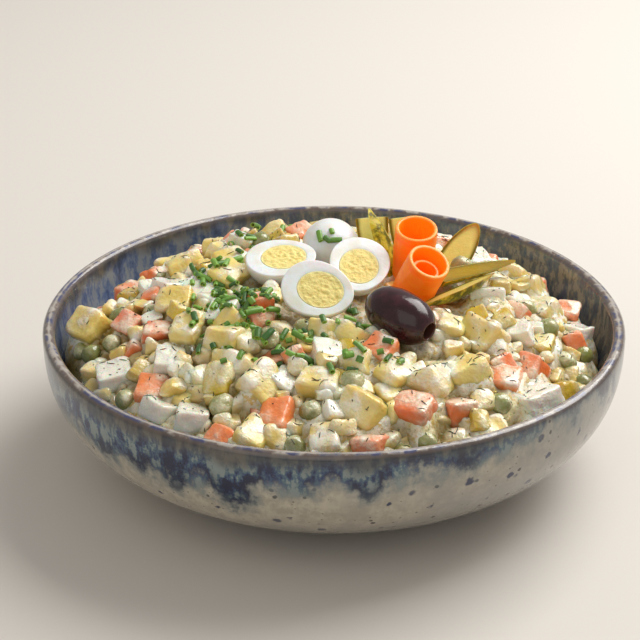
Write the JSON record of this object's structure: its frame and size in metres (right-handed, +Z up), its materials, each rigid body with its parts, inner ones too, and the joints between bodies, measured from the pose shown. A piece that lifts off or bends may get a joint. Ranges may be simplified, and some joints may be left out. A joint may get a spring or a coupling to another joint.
{
  "type": "bowl of olivier salad",
  "caption": "Wide round stoneware bowl heaped with diced potato, carrot, pea and egg salad, topped with quail eggs, olive, rolled carrot ribbons, gherkin slices and chives.",
  "frame": {"origin": "middle of the foot ring's underside, on the surface that the bowl stands on", "axes": "+Z up; +X to the right and -Y towards the viewer as the picture shows the bowl"},
  "size_m": [0.25, 0.25, 0.1007],
  "materials": {
    "glaze": "glossy mottled blue and cream stoneware glaze",
    "salad": "moist diced vegetables in pale mayonnaise",
    "egg_white": "smooth moist boiled egg white",
    "yolk": "crumbly boiled yolk",
    "olive": "glossy dark purple-brown olive skin",
    "carrot": "moist bright orange carrot ribbon",
    "gherkin": "moist pickled gherkin with a bumpy olive-green skin"
  },
  "bodies": {
    "root": {"bowl": "glaze", "salad": "salad", "egg_left_white": "egg_white", "egg_left_yolk": "yolk", "egg_front_white": "egg_white", "egg_front_yolk": "yolk", "egg_right_white": "egg_white", "egg_right_yolk": "yolk", "egg_whole": "egg_white", "olive": "olive", "carrot_roll_front": "carrot", "carrot_roll_back": "carrot", "gherkin_spear": "gherkin", "gherkin_left": "gherkin", "gherkin_middle": "gherkin", "gherkin_upright": "gherkin", "gherkin_long": "gherkin", "gherkin_low": "gherkin"}
  },
  "joints": []
}
